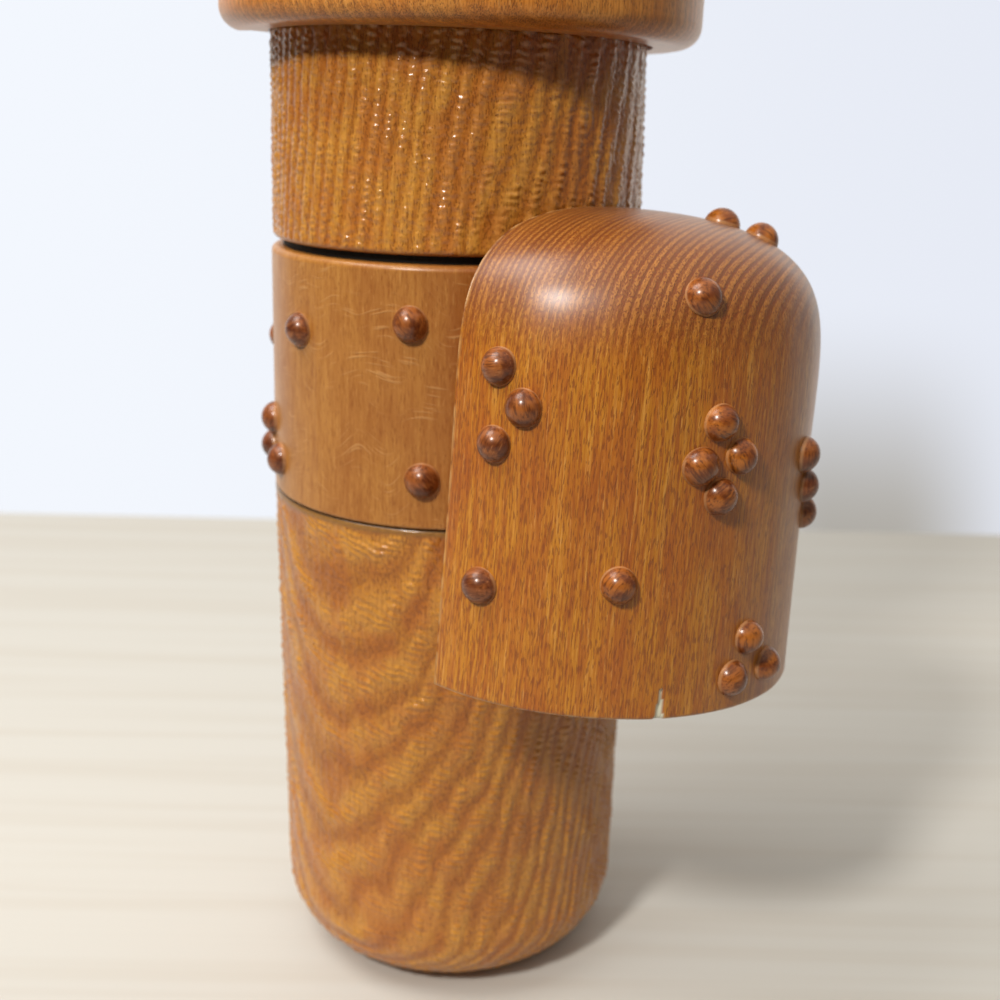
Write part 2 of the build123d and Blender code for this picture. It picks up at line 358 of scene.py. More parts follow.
def knot_wood():
    """Zelkova turned smooth: end grain in crisp rings over the dome, long fibres down the side."""
    b = Nodes("knot_wood")
    place = b.vector_field("wood_place")
    z = b.split(place)[2]
    ring = b.number("ring")
    phase = b.math("FRACT", ring)
    which = b.math("FLOOR", ring)
    width = b.ease(b.noise(b.join(which, 0.0, 0.0), 0.7), 0.3, 0.7, 0.42, 0.7)
    strength = b.ease(b.noise(b.join(0.0, which, 0.0), 0.6), 0.32, 0.66, 0.5, 1.0)
    fall = b.ease(b.math("SUBTRACT", phase, width), 0.0, 0.25, 1.0, 0.0)
    late = b.math("MULTIPLY", b.math("MULTIPLY", b.ease(phase, 0.0, 0.2), fall), strength)
    band = b.math("SUBTRACT", 1.0, late)
    over = b.ease(z, 6 * MM, 19 * MM)
    # Down the side: hair-fine streaks, some paler and some redder, over slow bands.
    streak = b.grain(place, 0.3, 6, detail=4, roughness=0.7)
    cord = b.grain(place, 0.9, 26, detail=2)
    patch = b.grain(place, 7, 22, detail=2)
    side = b.mix(b.ease(patch, 0.38, 0.62), rgb(196, 126, 24), rgb(182, 104, 16))
    side = b.where_high(side, cord, 0.44, 0.66, 0.6, rgb(170, 88, 18))
    side = b.where_low(side, cord, 0.28, 0.42, 0.45, rgb(218, 152, 66))
    side = b.where_high(side, streak, 0.46, 0.62, 0.85, rgb(152, 74, 8))
    side = b.where_low(side, streak, 0.28, 0.44, 0.6, rgb(230, 170, 92))
    side = b.mix(b.math("MULTIPLY", band, 0.12), side, rgb(132, 66, 10))
    # Over the dome: pale crisp lines of late wood between dotted rows of vessels.
    year = b.ease(b.noise(b.join(ring, 0.0, 3.0), 4.0, detail=2), 0.4, 0.6)
    crown = b.mix(year, rgb(112, 56, 12), rgb(140, 78, 20))
    crown = b.mix(late, crown, rgb(180, 114, 44))
    crown = b.where_high(crown, streak, 0.46, 0.62, 0.5, rgb(122, 58, 10))
    colour = b.mix(over, side, crown)
    side_pore = pores(b, place, 0.2, 1.4)
    side_hole = b.ease(side_pore, 0.57, 0.65, 0.0, 0.8)
    crown_pore = pores(b, place, 0.24, 0.6)
    crown_hole = b.ease(b.math("ADD", crown_pore, b.math("MULTIPLY", band, 0.1)), 0.57, 0.64)
    hole = b.mix(over, side_hole, crown_hole)
    colour = b.mix(b.math("MULTIPLY", hole, 0.85), colour, rgb(126, 58, 8))
    # Pale along the back and foot edges: partly rubbed wood, partly a painted highlight along the sharp arris.
    colour = b.mix(b.number("worn"), colour, rgb(206, 156, 96))
    colour = b.mix(b.number("chip"), colour, rgb(226, 222, 196))
    ridge = b.math("ADD", b.math("MULTIPLY", late, over), b.math("MULTIPLY", streak, -0.7))
    normal = b.bump(ridge, 0.06 * MM)
    normal = b.bump(b.math("SUBTRACT", 1.0, hole), 0.06 * MM, under=normal)
    roughness = b.ease(streak, 0.3, 0.7, 0.45, 0.58)
    return lacquered(b, colour, roughness, normal, Coat_Weight=0.85, Coat_Roughness=0.36, Coat_IOR=1.6)


def hair_wood():
    """The hair: the knot's wood with straight grain and rows of small open pores."""
    b = Nodes("hair_wood")
    place = b.place()
    flat = b.vector("MULTIPLY", b.vector("SUBTRACT", place, (0.03, 0.07, 0)), (1, 1, 0.03))
    warp = b.grain(place, 14, 50, detail=2)
    ring = b.math("DIVIDE", b.vector("LENGTH", flat), 1.7 * MM)
    phase = b.math("FRACT", b.math("ADD", ring, b.math("MULTIPLY", warp, 2.0)))
    band = b.math("MULTIPLY", b.ease(phase, 0.0, 0.2), b.ease(phase, 0.4, 1.0, 1.0, 0.0))
    streak = b.grain(place, 0.25, 7, detail=2, roughness=0.6)
    patch = b.grain(place, 8, 30, detail=2)
    colour = b.mix(b.ease(patch, 0.38, 0.62), rgb(234, 158, 70), rgb(220, 138, 54))
    colour = b.where_high(colour, streak, 0.44, 0.64, 0.6, rgb(172, 96, 28))
    colour = b.where_low(colour, streak, 0.28, 0.44, 0.5, rgb(236, 174, 98))
    colour = b.mix(b.math("MULTIPLY", band, 0.25), colour, rgb(150, 84, 28))
    pore = pores(b, place, 0.14, 0.9)
    hole = b.ease(b.math("ADD", pore, b.math("MULTIPLY", band, 0.08)), 0.63, 0.71)
    colour = b.mix(b.math("MULTIPLY", hole, 0.6), colour, rgb(110, 52, 12))
    normal = b.bump(b.math("SUBTRACT", b.math("MULTIPLY", streak, -0.5), hole), 0.05 * MM)
    roughness = b.ease(streak, 0.3, 0.7, 0.45, 0.58)
    return lacquered(b, colour, roughness, normal, Coat_Weight=0.8, Coat_Roughness=0.3)


def band_wood():
    """The sash band: quiet wood, scraped smooth, with pale ray flecks in arcs. It is golden on one side and darker
    and redder on the other: partly its own tone, partly painted shade on the side away from the lamps.
    """
    b = Nodes("band_wood")
    place = b.place()
    x, y, z = b.split(place)
    across = b.vector("DOT_PRODUCT", place, tuple(bearing_vector(132)))
    patch = b.grain(place, 9, 30, detail=2)
    # Painted shade, with some of the wood's own tone: darker and redder towards the side away from the lamps.
    red = b.math("ADD", b.ease(across, -24 * MM, 26 * MM), b.ease(patch, 0.3, 0.7, -0.3, 0.3), clamp=True)
    streak = fibres(b, place, 0.6, 6)
    dash = b.grain(place, 0.25, 1.3, detail=2)
    colour = b.mix(red, rgb(184, 124, 56), rgb(146, 80, 32))
    colour = b.where_high(colour, streak, 0.42, 0.66, 0.45, rgb(146, 80, 22))
    colour = b.where_low(colour, streak, 0.26, 0.42, 0.4, rgb(200, 142, 70))
    colour = b.where_high(colour, dash, 0.56, 0.68, 0.5, rgb(130, 66, 16))
    colour = b.where_low(colour, dash, 0.28, 0.38, 0.35, rgb(206, 150, 84))
    # Ray flecks: short level lines, bowed by a slow wave.
    bow = b.grain(place, 11, 26, detail=1)
    level = b.math("ADD", z, b.math("MULTIPLY", bow, 14 * MM))
    fleck = b.noise(b.join(x, y, b.math("MULTIPLY", level, 9.0)), (5 * MM, 5 * MM, 3.2 * MM), detail=1)
    where = b.grain(place, 9, 7, detail=1)
    fleck = b.math("MULTIPLY", b.ease(fleck, 0.58, 0.70), b.ease(where, 0.44, 0.58))
    colour = b.mix(b.math("MULTIPLY", fleck, 0.4), colour, rgb(212, 160, 100))
    dent = b.grain(place, 2.2, 3.4, detail=2)
    normal = b.bump(dent, 0.12 * MM)
    normal = b.bump(b.math("SUBTRACT", fleck, b.math("MULTIPLY", dash, 0.8)), 0.03 * MM, under=normal)
    roughness = b.ease(streak, 0.3, 0.7, 0.45, 0.55)
    return lacquered(b, colour, roughness, normal, Coat_Weight=0.7, Coat_Roughness=0.3)


def bead_wood():
    """Small hand-turned plugs of a redder wood, each cut with its own grain, well polished."""
    b = Nodes("bead_wood")
    place = b.vector_field("bead_place")
    tone = b.number("bead_tone")
    edge = b.number("bead_edge")
    grain = b.noise(place, (0.35, 4.0, 0.35), detail=3, roughness=0.65)
    blotch = b.ease(b.noise(place, 2.4, detail=2), 0.4, 0.6)
    pale = b.mix(blotch, rgb(186, 108, 34), rgb(136, 68, 22))
    dark = b.mix(blotch, rgb(130, 68, 36), rgb(88, 40, 20))
    colour = b.mix(tone, dark, pale)
    colour = b.where_high(colour, grain, 0.48, 0.64, 0.7, rgb(70, 26, 8))
    colour = b.where_low(colour, grain, 0.30, 0.42, 0.5, rgb(184, 118, 66))
    colour = b.mix(b.math("MULTIPLY", edge, 0.6), colour, rgb(196, 144, 96))
    normal = b.bump(grain, 0.05 * MM)
    roughness = b.ease(grain, 0.35, 0.65, 0.4, 0.55)
    return lacquered(b, colour, roughness, normal, Coat_Weight=0.7, Coat_Roughness=0.23)


def black_wood():
    """The waist ring: black-stained wood with its fibres just showing."""
    b = Nodes("black_wood")
    place = b.place()
    fine = fibres(b, place, 0.3, 4)
    colour = b.mix(fine, (0.002, 0.0016, 0.0012, 1), (0.010, 0.008, 0.005, 1))
    return b.surface(
        Base_Color=colour,
        Roughness=b.ease(fine, 0.3, 0.7, 0.6, 0.8),
        Specular_IOR_Level=0.2,
        Normal=b.bump(fine, 0.05 * MM),
    )


def pale_wood():
    """The face: waxed pale wood with fine straight grain."""
    b = Nodes("pale_wood")
    place = b.place()
    streak = fibres(b, place, 0.8, 60)
    fine = fibres(b, place, 0.25, 14)
    patch = b.grain(place, 12, 40, detail=2)
    colour = b.mix(patch, rgb(228, 192, 146), rgb(214, 172, 124))
    colour = b.where_high(colour, streak, 0.4, 0.7, 0.5, rgb(198, 150, 100))
    colour = b.where_high(colour, fine, 0.5, 0.8, 0.3, rgb(176, 126, 80))
    normal = b.bump(fine, 0.03 * MM)
    return b.surface(
        Base_Color=colour,
        Roughness=b.ease(fine, 0.3, 0.7, 0.38, 0.5),
        Normal=normal,
    )


def dowel_wood():
    """Raw dowel stock, hidden inside the doll."""
    b = Nodes("dowel_wood")
    place = b.place()
    fine = fibres(b, place, 0.4, 20)
    colour = b.mix(fine, rgb(196, 158, 112), rgb(216, 184, 140))
    return b.surface(
        Base_Color=colour,
        Roughness=b.ease(fine, 0.3, 0.7, 0.6, 0.8),
        Normal=b.bump(fine, 0.05 * MM),
    )


def paint(name, colour, worn):
    """A brushed paint line: the bristles leave it thinner in places."""
    b = Nodes(name)
    place = b.place()
    brush = b.noise(place, (0.25 * MM, 2.0 * MM, 0.25 * MM), detail=3)
    shade = b.where_high(colour, brush, 0.45, 0.75, 0.5, worn)
    return b.surface(
        Base_Color=shade,
        Roughness=b.ease(brush, 0.3, 0.7, 0.4, 0.6),
        Normal=b.bump(brush, 0.02 * MM),
    )


def pale_table():
    """The plain pale table top, with faint straight streaks, and painted shade towards its far right and front
    left.

    It mirrors in the lacquer as it looks, but only its middle lights the doll, as a small table would.
    """
    b = Nodes("pale_table")
    place = b.place()
    streak = b.noise(place, (220 * MM, 7 * MM, 1.0), detail=2)
    colour = b.mix(b.ease(streak, 0.4, 0.65, 0.0, 0.5), rgb(203, 200, 192), rgb(196, 190, 179))
    fine = b.noise(place, (60 * MM, 1.5 * MM, 1.0), detail=2)
    spread = b.node("ShaderNodeLightPath").outputs["Is Diffuse Ray"]
    reach = b.vector("LENGTH", place)
    right, depth, _ = b.split(place)
    # Painted shade: darker to the far right, where the doll's soft shadow falls, and to the front left, where the
    # light falls off.
    shadow_far_right = b.math("MULTIPLY", b.ease(right, 20 * MM, 160 * MM), b.ease(depth, -60 * MM, 120 * MM))
    left_side = b.ease(right, -60 * MM, 60 * MM, 1.0, 0.0)
    falloff_front_left = b.math("MULTIPLY", left_side, b.ease(depth, -140 * MM, 20 * MM, 1.0, 0.0))
    painted_shade = b.math("ADD", b.math("MULTIPLY", shadow_far_right, 0.12), b.math("MULTIPLY", falloff_front_left, 0.24))
    colour = b.mix(painted_shade, colour, rgb(60, 52, 40))
    dim = b.ease(reach, 60 * MM, 160 * MM, 0.05, 0.92)
    colour = b.mix(b.math("MULTIPLY", spread, dim), colour, rgb(20, 18, 16))
    return b.surface(
        Base_Color=colour,
        Roughness=b.ease(fine, 0.3, 0.7, 0.5, 0.65),
        Normal=b.bump(fine, 0.02 * MM),
    )


# ---- The growth rings of the two carved blocks ----
def wandering(points, seed):
    """How far the rings of a real tree stray from true curves, in metres."""
    tall = points * np.array([1, 1, 0.35])
    return 0.55 * MM * cloud(tall, 26 * MM, seed) + 0.26 * MM * cloud(tall, 7 * MM, seed + 1)


def cathedral_rings(points, seed):
    """Rings of a block cut beside the pith: arches where they graze its surface, lines elsewhere."""
    facing, pith_distance, tilt, pitch = 9, 45 * MM, 0.15, 1.8 * MM
    away = points + np.array(bearing_vector(facing)) * pith_distance
    radius = np.linalg.norm(away[..., :2], axis=-1)
    return (radius + tilt * points[..., 2] + wandering(points, seed)) / pitch


def upright_rings(points, seed):
    """Rings that meet the surface as upright ridges all round, set closest at one bearing."""
    count, lean, pitch = 68, 0.15, 2.5 * MM
    closest, swing = math.radians(-50), 3.6
    bearing = np.arctan2(points[..., 1], points[..., 0])
    even = count * bearing / math.tau + swing * np.sin(bearing - closest)
    return even - (lean * points[..., 2] - 1.3 * wandering(points, seed)) / pitch


def gouge_wave(turns):
    """One mark a turn: a slow rise from 0 to 1, then a quick fall that faces up and catches the light."""
    rise = 0.66
    phase = turns % 1
    up = 0.5 - 0.5 * np.cos(math.pi * phase / rise)
    down = 0.5 + 0.5 * np.cos(math.pi * (phase - rise) / (1 - rise))
    return np.where(phase < rise, up, down)


class Carving:
    """The relief on one block: its rings stand up as ridges, crossed by the marks of a fine gouge."""

    def __init__(self, rings, ridge, gouge, ripple_pitch, row, seed):
        self.rings = rings
        self.ridge = ridge
        self.gouge = gouge
        self.ripple_pitch = ripple_pitch
        self.row = row
        self.seed = seed

    def relief(self, points, bearings):
        """(height of the surface, ring number, crest share) for each point; crests are near 1."""
        ring = self.rings(points, self.seed)
        wave = 0.5 - 0.5 * np.cos(math.tau * ring)
        crest = wave**1.3
        drift = 0.30 * cloud(points, 5 * MM, self.seed + 2) + 0.37 * np.floor(ring)
        around = bearings * lower_top_radius
        turns = (points[..., 2] + 0.25 * around) / self.ripple_pitch + drift
        ripple = gouge_wave(turns)
        tall = points * np.array([1, 1, 0.5])
        bold = np.clip(0.8 + 0.55 * cloud(tall, 5 * MM, self.seed + 3), 0.15, 1.2)
        fibre = cloud(points * np.array([1, 1, 0.25]), 1.3 * MM, self.seed + 4, waves=24)
        pit = cloud(points, 1.0 * MM, self.seed + 5, waves=24)
        height = self.ridge * crest
        height += self.gouge * bold * ripple * crest**2
        height += 0.045 * MM * fibre + 0.04 * MM * pit
        return height - relief_sunk, ring, crest


lower_carving = Carving(
    cathedral_rings, ridge=0.08 * MM, gouge=0.26 * MM, ripple_pitch=1.2 * MM, row=0.2 * MM, seed=11
)
upper_carving = Carving(
    upright_rings, ridge=0.11 * MM, gouge=0.18 * MM, ripple_pitch=1.27 * MM, row=0.16 * MM, seed=31
)

carved_columns = 720
relief_sunk = 0.2 * MM  # the valleys lie this far inside the block's outline, the crests about on it


def carved_block(name, node, outline, top_of, carving, bevelled, material):
    """A turned block with raised growth rings.

    outline is the block's side as (radii, heights) from bottom to top, and top_of says how high its
    top is at a point, so that the top can be cut at a slant. A bevelled block has a plain upper edge.
    """
    radii, heights = outline
    bearings = np.arange(carved_columns) * math.tau / carved_columns
    circle = np.stack([np.cos(bearings), np.sin(bearings)], -1)
    top = np.array([top_of(x * upper_top_radius, y * upper_top_radius) for x, y in circle])
    share = (heights - heights[0]) / (heights[-1] - heights[0])
    z = heights[:, None] + share[:, None] * (top[None, :] - heights[-1])
    points = np.empty((len(heights), carved_columns, 3))
    points[..., :2] = circle[None] * radii[:, None, None]
    points[..., 2] = z
    # The texture stops short of the block's ends, where the lathe left a plain bevel.
    height, ring, crest = carving.relief(points, np.broadcast_to(bearings, z.shape))
    from_bottom = z - heights[0]
    from_top = top[None, :] - z
    fade = smooth_step(0, 1.5 * MM, from_bottom)
    if bevelled:
        fade = fade * smooth_step(0.6 * MM, 1.8 * MM, from_top)
    points[..., :2] += circle[None] * (height * fade)[..., None]
    bevel = 1 - smooth_step(0.5 * MM, 1.4 * MM, from_top)
    # Painted shade in the crevice of the joint at the block's top edge.
    joint_shade = 1 - smooth_step(0.05 * MM, 0.3 * MM, from_top)
    faces = grid_faces(len(heights), carved_columns, True)
    side_count = len(faces)
    points = points.reshape(-1, 3)
    last_row = len(points) - carved_columns
    faces.append(list(range(carved_columns))[::-1])
    faces.append(list(range(last_row, len(points))))
    piece = add_mesh(name, points, faces, material, "torso", [node], flat_from=side_count)
    add_numbers(piece, "ring", ring)
    add_numbers(piece, "crest", crest * fade)
    add_numbers(piece, "bevel", bevel * bevelled)
    add_numbers(piece, "joint_shade", joint_shade)
    return piece


def arc_points(centre_r, centre_z, radius, start, end, count):
    """Points along an arc in the (radius, height) plane, angles in degrees from outward."""
    angles = np.radians(np.linspace(start, end, count))
    return [(centre_r + radius * math.cos(a), centre_z + radius * math.sin(a)) for a in angles]


def even_rows(corners, spacing):
    """(radii, heights) spaced evenly along a line through the corners."""
    corners = np.array(corners)
    steps = np.linalg.norm(np.diff(corners, axis=0), axis=1)
    along = np.concatenate([[0], np.cumsum(steps)])
    count = max(2, int(round(along[-1] / spacing)) + 1)
    at = np.linspace(0, along[-1], count)
    return np.interp(at, along, corners[:, 0]), np.interp(at, along, corners[:, 1])


def build_carved_blocks(material):
    lean = math.degrees(math.atan2(lower_top_radius - foot_radius, column_high.z))
    bottom = column_low.z
    foot = arc_points(foot_radius - foot_rounding, bottom + foot_rounding, foot_rounding, -90, lean, 40)
    half = edge_rounding / 2
    shoulder = arc_points(lower_top_radius - half, column_high.z - half, half, 0, 90, 6)
    side = even_rows(foot + shoulder, lower_carving.row)
    carved_block(
        "carved_lower_body", "lower_body", side, lambda x, y: column_high.z, lower_carving, True, material
    )

    low_edge = arc_points(
        upper_bottom_radius - edge_rounding, upper_low.z + edge_rounding, edge_rounding, -90, 0, 8
    )
    neck_z = neck_point.z + head_recess - neck_gap
    side = even_rows(low_edge + [(upper_top_radius, neck_z)], upper_carving.row)

    def cut_top(x, y):
        return neck_z - (neck_axis.x * (x - neck_point.x) + neck_axis.y * (y - neck_point.y)) / neck_axis.z

    carved_block("carved_upper_body", "upper_body", side, cut_top, upper_carving, False, material)


# ---- The sash knot ----
knot_place = Matrix.Translation(knot_point) @ Matrix.Rotation(math.radians(-knot_cant), 4, "Y")


def dome_radius(height, start, rise, radius):
    """How wide a dome is at a height, when it starts with this radius."""
    part = min(1.0, max(0.0, (height - start) / rise))
    return radius * (1 - part**dome_rise_power) ** (1 / dome_side_power)


def knot_dome_radius(height):
    """How wide the knot is at a height above its peg, from where its dome starts."""
    return dome_radius(height, knot_dome_start, knot_dome_rise, knot_radius)


def knot_outline():
    """The knot's side as (radius, height above the peg), from the foot up to the crown."""
    bevel = 0.35 * MM
    foot = -knot_below_peg
    points = [(knot_foot_radius - bevel, foot), (knot_foot_radius - 0.3 * bevel, foot + 0.3 * bevel)]
    points.append((knot_foot_radius, foot + bevel))
    steps = np.radians(np.linspace(0, 90, 90))
    for step in steps:
        height = knot_dome_start + knot_dome_rise * math.sin(step)
        points.append((knot_dome_radius(height), height))
    return points


def build_knot(material):
    """Half of a domed cylinder: a curved front of fine rows, a flat back and a flat foot."""
    row, columns = 0.3 * MM, 340
    radii, heights = even_rows(knot_outline(), row)
    turns = np.linspace(0, math.pi, columns)
    out = np.stack([np.cos(turns), np.sin(turns)], -1)
    points = np.empty((len(radii), columns, 3))
    points[..., :2] = out[None] * radii[:, None, None]
    points[..., 2] = heights[:, None]
    # The surface swells and sinks a little, as hand sanding leaves it, but not at the crown's tip.
    swell = 0.05 * MM * cloud(points * np.array([1, 1, 0.3]), 9 * MM, 51)
    scale = 1 + swell / np.maximum(radii[:, None], 4 * MM)
    points[..., :2] *= scale[..., None]
    across = (turns[None, :] - math.radians(chip_turn)) * knot_foot_radius
    wedge = np.clip(1 - (points[..., 2] + knot_below_peg) / chip_height, 0, 1)
    half_width = chip_half_width * wedge + 0.05 * MM
    bite = (wedge > 0) * (1 - smooth_step(0.6, 1.0, np.abs(across) / half_width))
    points[..., :2] *= (1 - bite * chip_depth / knot_foot_radius)[..., None]
    points = points.reshape(-1, 3)
    faces = grid_faces(len(radii), columns, False)
    side_count = len(faces)
    right = [start * columns for start in range(len(radii))]
    left = [start + columns - 1 for start in right]
    faces.append(right[::-1] + left)
    faces.append(list(range(columns))[::-1])
    world = np.array([knot_place @ Vector(p) for p in points])
    piece = add_mesh("turned_obi_knot", world, faces, material, "knot", ["obi_knot"], flat_from=side_count)
    pith_reach = np.hypot(points[:, 0] - knot_pith[0], points[:, 1] - knot_pith[1])
    stray = 0.3 * MM * cloud(points * np.array([1, 1, 0.2]), 22 * MM, 71)
    add_vectors(piece, "wood_place", points)
    add_numbers(piece, "ring", (pith_reach + stray) / knot_ring_pitch)
    add_numbers(piece, "chip", smooth_step(0.1, 0.3, bite))
    # The back and foot edges: partly rubbed wood, partly a painted highlight along the arris, broken up in
    # patches.
    back_edge = 1 - smooth_step(0.1 * MM, 0.45 * MM, points[:, 1])
    foot_edge = 1 - smooth_step(0.1 * MM, 0.4 * MM, points[:, 2] + knot_below_peg)
    scuff_and_glint = np.clip(0.55 + 0.6 * cloud(points, 3 * MM, 61), 0, 1)
    add_numbers(piece, "worn", np.maximum(back_edge, foot_edge) * scuff_and_glint)
    return piece


# ---- Beads ----
def knot_seat(turn, height):
    """The place on the knot where a bead rests, with z pointing out of the wood."""
    height *= MM
    step = 0.05 * MM
    if height < knot_dome_start:
        slope = (knot_foot_radius - knot_radius) / (knot_dome_start + knot_below_peg)
        radius = knot_radius + slope * (knot_dome_start - height)
    else:
        radius = knot_dome_radius(height)
        slope = (knot_dome_radius(height - step) - radius) / step
    turn = math.radians(turn)
    out = Vector((-math.sin(turn), math.cos(turn), 0))
    normal = out + Vector((0, 0, slope))
    seat = frame_matrix(out * radius + Vector((0, 0, height)), out.cross(Vector((0, 0, 1))), normal)
    return knot_place @ seat


def band_seat(bearing, height):
    """The place on the band where a bead rests, with z pointing out of the wood."""
    height *= MM
    slope = (band_radius - band_top_radius) / (band_high.z - band_low.z)
    radius = band_radius - slope * (height - band_low.z)
    out = bearing_vector(bearing)
    normal = out + Vector((0, 0, slope))
    return frame_matrix(out * radius + Vector((0, 0, height)), out.cross(Vector((0, 0, 1))), normal)


def bead_profile():
    """(radius, height) of a bead's side, from near its crown down to just inside the wood."""
    foot = math.acos(bead_sunk / bead_radius)
    steps = np.linspace(0, foot, 15)[1:]
    points = [(bead_radius * math.sin(a), bead_radius * math.cos(a) - bead_sunk) for a in steps]
    points.append((points[-1][0], -0.3 * MM))
    return points


def build_beads(name, seats, material, body, tones, rng):
    """A cluster of round-headed beads, each a little out of true."""
    around, worn_edge = 40, 0.35 * MM
    profile = bead_profile()
    points, faces, places, tone, edge = [], [], [], [], []
    for seat, shade in zip(seats, tones):
        start = len(points)
        grain = Matrix.Rotation(rng.uniform(0, math.tau), 3, "Z")
        grain = grain @ Matrix.Rotation(rng.uniform(-0.5, 0.5), 3, "X")
        shift = Vector(rng.uniform(-50, 50, 3))
        wobble = rng.uniform(0, math.tau, 2)
        tilt = Vector(rng.normal(0, 0.035, 2))
        size = rng.uniform(0.95, 1.01)
        local = [Vector((0, 0, bead_radius - bead_sunk))]
        for radius, height in profile:
            for i in range(around):
                angle = math.tau * i / around
                uneven = 1 + 0.012 * math.sin(2 * angle + wobble[0]) + 0.008 * math.sin(3 * angle + wobble[1])
                x = radius * math.cos(angle) * uneven * size
                y = radius * math.sin(angle) * uneven * size
                local.append(Vector((x, y, height + (tilt.x * x + tilt.y * y) * (height > 0))))
        for p in local:
            points.append(seat @ p)
            places.append((grain @ p) / MM + shift)
            tone.append(shade)
            edge.append(1.0 if p.z < worn_edge else 0.0)
        for i in range(around):
            faces.append((start, start + 1 + i, start + 1 + (i + 1) % around))
        for row in range(len(profile) - 1):
            a = start + 1 + row * around
            for i in range(around):
                j = (i + 1) % around
                faces.append((a + i, a + around + i, a + around + j, a + j))
        a = start + 1 + (len(profile) - 1) * around
        faces.append([a + i for i in range(around)][::-1])
    piece = add_mesh("turned_" + name, points, faces, material, body, [name])
    add_vectors(piece, "bead_place", places)
    add_numbers(piece, "bead_tone", tone)
    add_numbers(piece, "bead_edge", edge)
    return piece


def build_all_beads(material):
    rng = np.random.default_rng(7)
    pale_clusters = ("quad", "foot", "crown")
    for name, spots in knot_beads.items():
        seats = [knot_seat(*spot) for spot in spots]
        base = 0.75 if any(word in name for word in pale_clusters) else 0.35
        tones = np.clip(rng.normal(base, 0.15, len(seats)), 0, 1)
        build_beads(name, seats, material, "knot", tones, rng)
    clusters = {"band_front_quad_beads": [band_seat(*spot) for spot in band_front_beads]}
    for name, spots in band_side_beads.items():
        clusters["band_right_" + name] = [band_seat(turn, z) for turn, z in spots]
        clusters["band_left_" + name] = [band_seat(180 - turn, z) for turn, z in spots]
    for name, seats in clusters.items():
        tones = np.clip(rng.normal(0.2, 0.12, len(seats)), 0, 1)
        build_beads(name, seats, material, "torso", tones, rng)


# ---- The painted face ----
head_place = frame_matrix(neck_point, Vector((0, 1, 0)).cross(neck_axis), neck_axis)


def face_point(across, height, proud):
    """A point on the face: across is measured along its curve, + towards +X."""
    radius = dome_radius(height, head_straight, head_dome_rise, head_radius - face_inset)
    angle = across / radius - math.pi / 2
    reach = radius + proud
    return head_place @ Vector((reach * math.cos(angle), reach * math.sin(angle), height))


def brush_stroke(points, widths):
    """A closed sliver of paint along a line of (across, height) points."""
    sunk, proud = -0.15 * MM, 0.05 * MM
    path = np.array(points)
    along = np.gradient(path, axis=0)
    along /= np.linalg.norm(along, axis=1)[:, None]
    side = np.stack([-along[:, 1], along[:, 0]], -1)
    corners, faces = [], []
    for (across, height), (sx, sy), width in zip(path, side, widths):
        for offset, depth in ((-0.5, sunk), (-0.42, proud), (0.42, proud), (0.5, sunk)):
            corners.append(face_point(across + sx * offset * width, height + sy * offset * width, depth))
    for row in range(len(path) - 1):
        for i in range(4):
            j = (i + 1) % 4
            a, b = row * 4, row * 4 + 4
            faces.append((a + i, a + j, b + j, b + i))
    last = (len(path) - 1) * 4
    faces.append((3, 2, 1, 0))
    faces.append((last, last + 1, last + 2, last + 3))
    return corners, faces


def arc_stroke(centre, half_width, sag, thickness, count=25):
    """A shallow arc, thick in the middle and fine at its ends. sag below 0 bows it upwards."""
    steps = np.linspace(-1, 1, count)
    points = [(centre[0] + half_width * s, centre[1] - sag * (1 - s * s)) for s in steps]
    widths = [thickness * (0.25 + 0.75 * (1 - abs(s) ** 2.2)) for s in steps]
    return brush_stroke(points, widths)


def join_strokes(strokes):
    points, faces = [], []
    for corners, quads in strokes:
        start = len(points)
        points += corners
        faces += [tuple(start + i for i in quad) for quad in quads]
    return points, faces


def build_face(black, red):
    """Calm closed eyes, level brows, a short nose and a small mouth, at heights above the rim."""
    eye_height, brow_height, eye_aside = 19.0 * MM, 25.6 * MM, 9.6 * MM
    nose_height, upper_lip_height, lower_lip_height = 14.2 * MM, 10.2 * MM, 9.3 * MM
    eyes, brows = [], []
    for side in (-eye_aside, eye_aside):
        eyes.append(arc_stroke((side, eye_height), 4.1 * MM, 1.5 * MM, 0.95 * MM))
        brows.append(arc_stroke((side, brow_height), 4.6 * MM, -1.2 * MM, 0.6 * MM))
    nose = arc_stroke((0.0, nose_height), 1.3 * MM, 0.7 * MM, 0.5 * MM)
    mouth = [
        arc_stroke((0.0, upper_lip_height), 2.0 * MM, 0.5 * MM, 0.8 * MM),
        arc_stroke((0.0, lower_lip_height), 1.2 * MM, 0.5 * MM, 0.7 * MM),
    ]
    for name, strokes, material in (
        ("painted_eyes", eyes, black), ("painted_brows", brows, black),
        ("painted_nose", [nose], black), ("painted_mouth", mouth, red),
    ):
        points, faces = join_strokes(strokes)
        piece = add_mesh(name, points, faces, material, "head", None)


# ---- Camera ----
# Where the photo was taken from: fitted to the column, the knot and the head's rim.
camera_point = Vector((155.9, 152.5, 147.8)) * MM
camera_heading = 222.28  # a bearing
camera_dip = 17.09  # degrees below level
camera_roll = 1.27
lens = 47.23  # mm, for a sensor 36 mm wide
focus_distance = 165 * MM


def camera_axes():
    """The camera's right, up and forward directions."""
    dip, roll = math.radians(camera_dip), math.radians(camera_roll)
    forward = bearing_vector(camera_heading) * math.cos(dip) - Vector((0, 0, math.sin(dip)))
    side = forward.cross(Vector((0, 0, 1))).normalized()
    up = side.cross(forward) * math.cos(roll) - side * math.sin(roll)
    return forward.cross(up), up, forward


